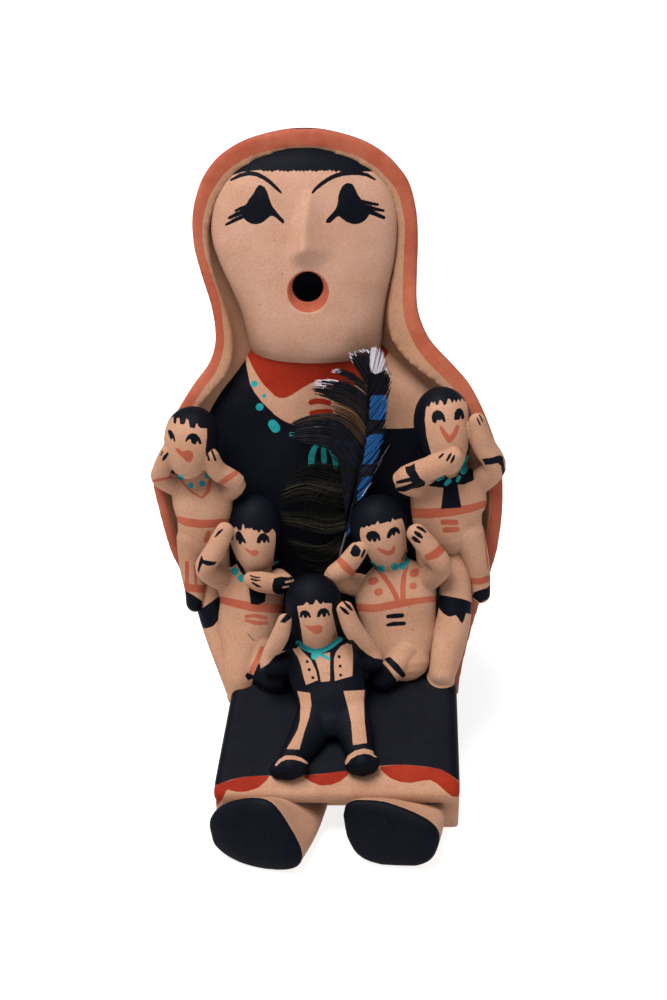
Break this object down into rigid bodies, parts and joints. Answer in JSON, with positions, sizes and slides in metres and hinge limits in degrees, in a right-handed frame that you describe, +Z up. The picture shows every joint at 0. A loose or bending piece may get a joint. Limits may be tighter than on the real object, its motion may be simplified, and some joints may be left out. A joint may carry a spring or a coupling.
{
  "type": "pueblo storyteller figure",
  "caption": "Painted clay storyteller: a seated mother in a shawl, head tilted back and mouth open, with children held against her chest and lap and two feathers.",
  "frame": {"origin": "middle of the outline on the surface it stands on", "axes": "+Z up, -Y the way the figure faces, +X to the right of someone who looks at its face"},
  "size_m": [0.1124, 0.1646, 0.1986],
  "materials": {
    "painted_clay": "hand-built fired clay with matt tan slip, black, terracotta, deep red and turquoise paint",
    "blue_feather": "feather with blue and black bars and a white tip",
    "dark_down": "dark brown-black downy feather"
  },
  "bodies": {
    "root": {"storyteller": "painted_clay", "barred_feather": "blue_feather", "dark_plume": "dark_down"}
  },
  "joints": []
}
